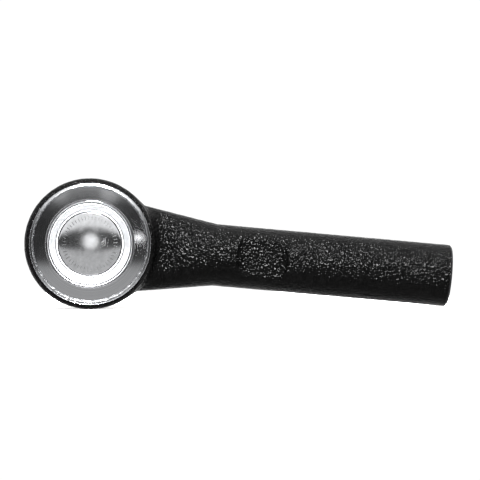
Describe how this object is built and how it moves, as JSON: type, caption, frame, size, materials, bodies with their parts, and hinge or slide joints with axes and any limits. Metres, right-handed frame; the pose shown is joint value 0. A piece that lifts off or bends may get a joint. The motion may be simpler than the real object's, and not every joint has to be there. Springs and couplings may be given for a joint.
{
  "type": "tie rod end",
  "caption": "Sealed ball joint in a round forged head with a straight internally threaded shank, wrench flats, rubber dust boot, tapered stud and castle nut.",
  "frame": {"origin": "centre of the cover plate's flat disc, on the ball stud's axis", "axes": "+X along the shank from the stud's axis to the threaded mouth, +Y along the ball stud towards its nut, +Z across the head"},
  "size_m": [0.1379, 0.0761, 0.0418],
  "materials": {
    "forged_housing": "black electrocoated steel forging, rough as forged and glossy",
    "cover_plate": "turned bright steel",
    "spring_steel": "oiled spring steel",
    "seal_rubber": "moulded nitrile",
    "ball_seat": "natural acetal resin",
    "boot_rubber": "moulded chloroprene",
    "stud_steel": "ground and rolled alloy steel",
    "zinc_plate": "bright zinc plate"
  },
  "bodies": {
    "housing": {"housing": "forged_housing", "cover_plate": "cover_plate", "cover_gasket": "seal_rubber", "preload_spring": "spring_steel", "upper_ball_seat": "ball_seat", "lower_ball_seat": "ball_seat", "boot_housing_ring": "spring_steel"},
    "dust_boot": {"dust_boot": "boot_rubber"},
    "boot_collar": {"boot_stud_ring": "spring_steel"},
    "ball_stud": {"ball_stud": "stud_steel", "castle_nut": "zinc_plate", "cotter_pin": "zinc_plate"}
  },
  "joints": [
    {"name": "stud_swing", "type": "hinge", "parent": "housing", "child": "dust_boot", "pos_m": [0, 0.0148, 0], "axis": [0, 0, 1], "range_deg": [-20, 20], "deforming": ["dust_boot"]},
    {"name": "stud_tilt", "type": "hinge", "parent": "dust_boot", "child": "boot_collar", "pos_m": [0, 0.0148, 0], "axis": [1, 0, 0], "range_deg": [-20, 20], "deforming": ["dust_boot"]},
    {"name": "stud_spin", "type": "hinge", "parent": "boot_collar", "child": "ball_stud", "pos_m": [0, 0.0148, 0], "axis": [0, 1, 0], "continuous": true}
  ]
}
